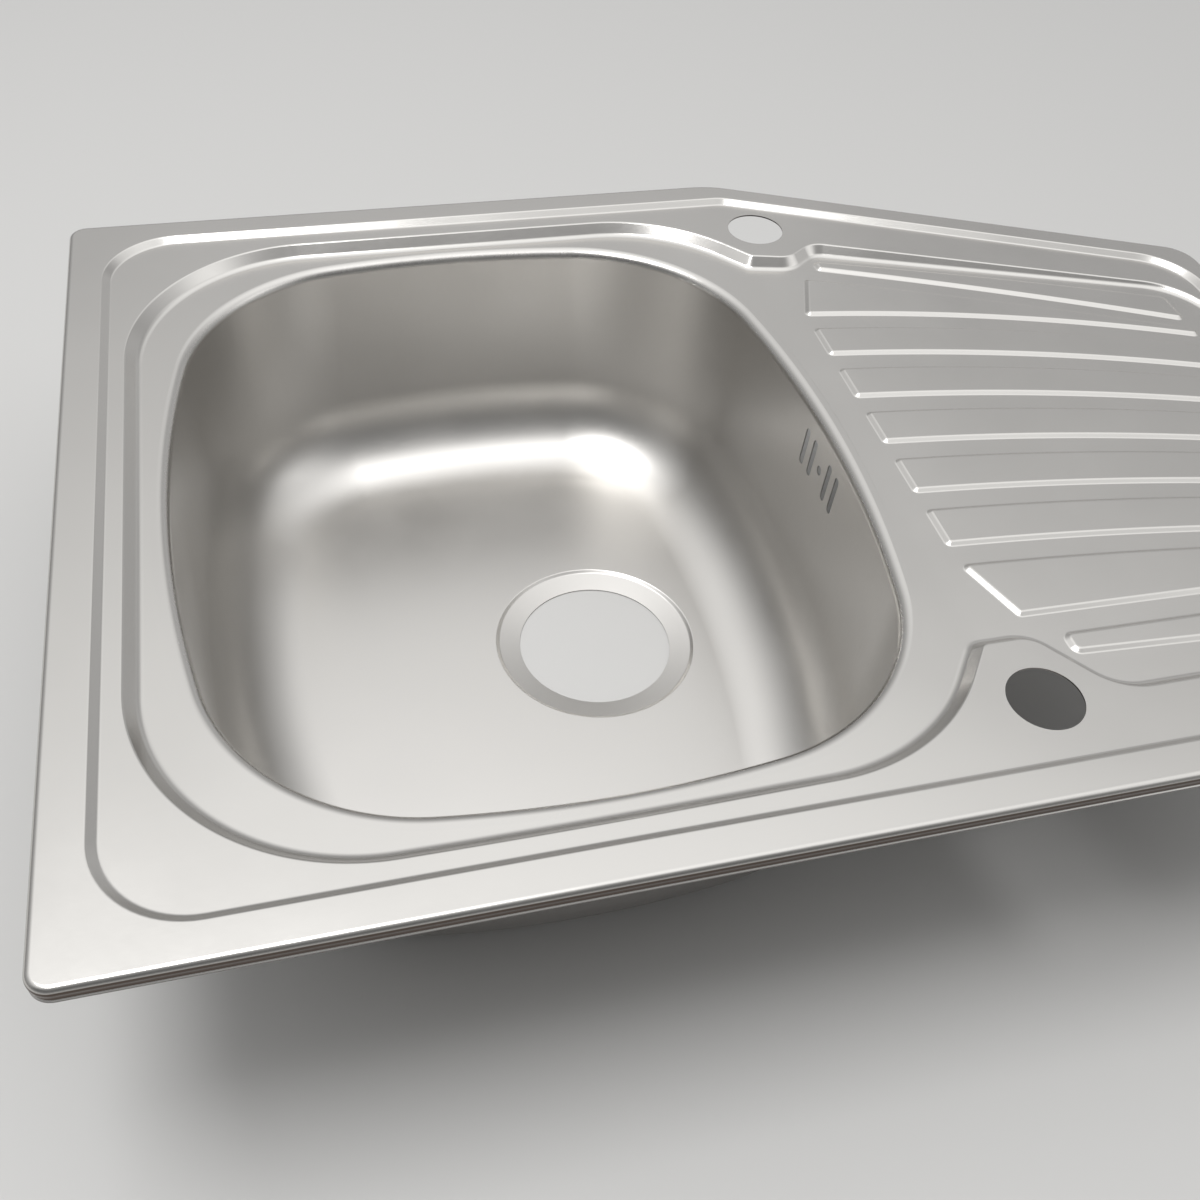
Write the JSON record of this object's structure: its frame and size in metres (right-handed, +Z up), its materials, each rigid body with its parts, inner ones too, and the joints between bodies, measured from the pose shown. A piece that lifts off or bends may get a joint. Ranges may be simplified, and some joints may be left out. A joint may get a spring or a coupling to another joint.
{
  "type": "inset kitchen sink",
  "caption": "Inset kitchen sink in pressed stainless steel, with a deep rounded bowl, a ribbed drainer that narrows along a slanted edge, and swivel clamps under the rim.",
  "frame": {"origin": "on the worktop's surface, at the seal's underside, under the middle of the sink's length and width", "axes": "+X along the sink from the bowl to the drainer, +Y to the slanted rear edge, +Z up"},
  "size_m": [0.69, 0.5, 0.1552],
  "materials": {
    "top_steel": "semi-bright rolled stainless steel",
    "bowl_steel": "satin drawn stainless steel",
    "seal_foam": "closed-cell foam strip",
    "pad_rubber": "matt damping sheet",
    "tag_steel": "stainless strip",
    "hanger_steel": "stainless strip",
    "zinc_plate": "bright zinc plate",
    "claw_steel": "zinc plate"
  },
  "bodies": {
    "sink": {"sink_top": "top_steel", "bowl": "bowl_steel", "rim_seal": "seal_foam", "sound_pad": "pad_rubber", "earth_tag": "tag_steel", "hanger_left_front": "hanger_steel", "hanger_left_rear": "hanger_steel", "hanger_front_near": "hanger_steel", "hanger_front_far": "hanger_steel", "hanger_front_drainer": "hanger_steel", "hanger_rear_near": "hanger_steel", "hanger_rear_far": "hanger_steel", "hanger_rear_drainer": "hanger_steel", "nut_left_front": "zinc_plate", "nut_left_rear": "zinc_plate", "nut_front_near": "zinc_plate", "nut_front_far": "zinc_plate", "nut_front_drainer": "zinc_plate", "nut_rear_near": "zinc_plate", "nut_rear_far": "zinc_plate", "nut_rear_drainer": "zinc_plate"},
    "washer_left_front": {"washer_left_front": "zinc_plate"},
    "screw_left_front": {"screw_left_front": "zinc_plate"},
    "claw_left_front": {"claw_left_front": "claw_steel"},
    "washer_left_rear": {"washer_left_rear": "zinc_plate"},
    "screw_left_rear": {"screw_left_rear": "zinc_plate"},
    "claw_left_rear": {"claw_left_rear": "claw_steel"},
    "washer_front_near": {"washer_front_near": "zinc_plate"},
    "screw_front_near": {"screw_front_near": "zinc_plate"},
    "claw_front_near": {"claw_front_near": "claw_steel"},
    "washer_front_far": {"washer_front_far": "zinc_plate"},
    "screw_front_far": {"screw_front_far": "zinc_plate"},
    "claw_front_far": {"claw_front_far": "claw_steel"},
    "washer_front_drainer": {"washer_front_drainer": "zinc_plate"},
    "screw_front_drainer": {"screw_front_drainer": "zinc_plate"},
    "claw_front_drainer": {"claw_front_drainer": "claw_steel"},
    "washer_rear_near": {"washer_rear_near": "zinc_plate"},
    "screw_rear_near": {"screw_rear_near": "zinc_plate"},
    "claw_rear_near": {"claw_rear_near": "claw_steel"},
    "washer_rear_far": {"washer_rear_far": "zinc_plate"},
    "screw_rear_far": {"screw_rear_far": "zinc_plate"},
    "claw_rear_far": {"claw_rear_far": "claw_steel"},
    "washer_rear_drainer": {"washer_rear_drainer": "zinc_plate"},
    "screw_rear_drainer": {"screw_rear_drainer": "zinc_plate"},
    "claw_rear_drainer": {"claw_rear_drainer": "claw_steel"}
  },
  "joints": [
    {"name": "lift_left_front", "type": "slide", "parent": "sink", "child": "washer_left_front", "axis": [0, 0, 1], "range_m": [-0.018, 0]},
    {"name": "spin_left_front", "type": "hinge", "parent": "washer_left_front", "child": "screw_left_front", "pos_m": [-0.3176, -0.1, -0.034], "axis": [0, 0, 1], "range_deg": [-8101, 0]},
    {"name": "swing_left_front", "type": "hinge", "parent": "washer_left_front", "child": "claw_left_front", "pos_m": [-0.3176, -0.1, -0.033], "axis": [0, 0, 1], "range_deg": [0, 90]},
    {"name": "lift_left_rear", "type": "slide", "parent": "sink", "child": "washer_left_rear", "axis": [0, 0, 1], "range_m": [-0.018, 0]},
    {"name": "spin_left_rear", "type": "hinge", "parent": "washer_left_rear", "child": "screw_left_rear", "pos_m": [-0.3176, 0.1, -0.034], "axis": [0, 0, 1], "range_deg": [-8101, 0]},
    {"name": "swing_left_rear", "type": "hinge", "parent": "washer_left_rear", "child": "claw_left_rear", "pos_m": [-0.3176, 0.1, -0.033], "axis": [0, 0, 1], "range_deg": [0, 90]},
    {"name": "lift_front_near", "type": "slide", "parent": "sink", "child": "washer_front_near", "axis": [0, 0, 1], "range_m": [-0.018, 0]},
    {"name": "spin_front_near", "type": "hinge", "parent": "washer_front_near", "child": "screw_front_near", "pos_m": [-0.195, -0.2247, -0.034], "axis": [0, 0, 1], "range_deg": [-8101, 0]},
    {"name": "swing_front_near", "type": "hinge", "parent": "washer_front_near", "child": "claw_front_near", "pos_m": [-0.195, -0.2247, -0.033], "axis": [0, 0, 1], "range_deg": [0, 90]},
    {"name": "lift_front_far", "type": "slide", "parent": "sink", "child": "washer_front_far", "axis": [0, 0, 1], "range_m": [-0.018, 0]},
    {"name": "spin_front_far", "type": "hinge", "parent": "washer_front_far", "child": "screw_front_far", "pos_m": [-0.045, -0.2247, -0.034], "axis": [0, 0, 1], "range_deg": [-8101, 0]},
    {"name": "swing_front_far", "type": "hinge", "parent": "washer_front_far", "child": "claw_front_far", "pos_m": [-0.045, -0.2247, -0.033], "axis": [0, 0, 1], "range_deg": [0, 90]},
    {"name": "lift_front_drainer", "type": "slide", "parent": "sink", "child": "washer_front_drainer", "axis": [0, 0, 1], "range_m": [-0.018, 0]},
    {"name": "spin_front_drainer", "type": "hinge", "parent": "washer_front_drainer", "child": "screw_front_drainer", "pos_m": [0.235, -0.2247, -0.034], "axis": [0, 0, 1], "range_deg": [-8101, 0]},
    {"name": "swing_front_drainer", "type": "hinge", "parent": "washer_front_drainer", "child": "claw_front_drainer", "pos_m": [0.235, -0.2247, -0.033], "axis": [0, 0, 1], "range_deg": [0, 90]},
    {"name": "lift_rear_near", "type": "slide", "parent": "sink", "child": "washer_rear_near", "axis": [0, 0, 1], "range_m": [-0.018, 0]},
    {"name": "spin_rear_near", "type": "hinge", "parent": "washer_rear_near", "child": "screw_rear_near", "pos_m": [-0.195, 0.2236, -0.034], "axis": [0, 0, 1], "range_deg": [-8101, 0]},
    {"name": "swing_rear_near", "type": "hinge", "parent": "washer_rear_near", "child": "claw_rear_near", "pos_m": [-0.195, 0.2236, -0.033], "axis": [0, 0, 1], "range_deg": [0, 90]},
    {"name": "lift_rear_far", "type": "slide", "parent": "sink", "child": "washer_rear_far", "axis": [0, 0, 1], "range_m": [-0.018, 0]},
    {"name": "spin_rear_far", "type": "hinge", "parent": "washer_rear_far", "child": "screw_rear_far", "pos_m": [-0.045, 0.2236, -0.034], "axis": [0, 0, 1], "range_deg": [-8101, 0]},
    {"name": "swing_rear_far", "type": "hinge", "parent": "washer_rear_far", "child": "claw_rear_far", "pos_m": [-0.045, 0.2236, -0.033], "axis": [0, 0, 1], "range_deg": [0, 90]},
    {"name": "lift_rear_drainer", "type": "slide", "parent": "sink", "child": "washer_rear_drainer", "axis": [0, 0, 1], "range_m": [-0.018, 0]},
    {"name": "spin_rear_drainer", "type": "hinge", "parent": "washer_rear_drainer", "child": "screw_rear_drainer", "pos_m": [0.2249, 0.15147, -0.034], "axis": [0, 0, 1], "range_deg": [-8101, 0]},
    {"name": "swing_rear_drainer", "type": "hinge", "parent": "washer_rear_drainer", "child": "claw_rear_drainer", "pos_m": [0.2249, 0.15147, -0.033], "axis": [0, 0, 1], "range_deg": [0, 90]}
  ],
  "couplings": [
    {"joint": "spin_left_front", "follows": "lift_left_front", "rad_per_m": 7854},
    {"joint": "spin_left_rear", "follows": "lift_left_rear", "rad_per_m": 7854},
    {"joint": "spin_front_near", "follows": "lift_front_near", "rad_per_m": 7854},
    {"joint": "spin_front_far", "follows": "lift_front_far", "rad_per_m": 7854},
    {"joint": "spin_front_drainer", "follows": "lift_front_drainer", "rad_per_m": 7854},
    {"joint": "spin_rear_near", "follows": "lift_rear_near", "rad_per_m": 7854},
    {"joint": "spin_rear_far", "follows": "lift_rear_far", "rad_per_m": 7854},
    {"joint": "spin_rear_drainer", "follows": "lift_rear_drainer", "rad_per_m": 7854}
  ]
}
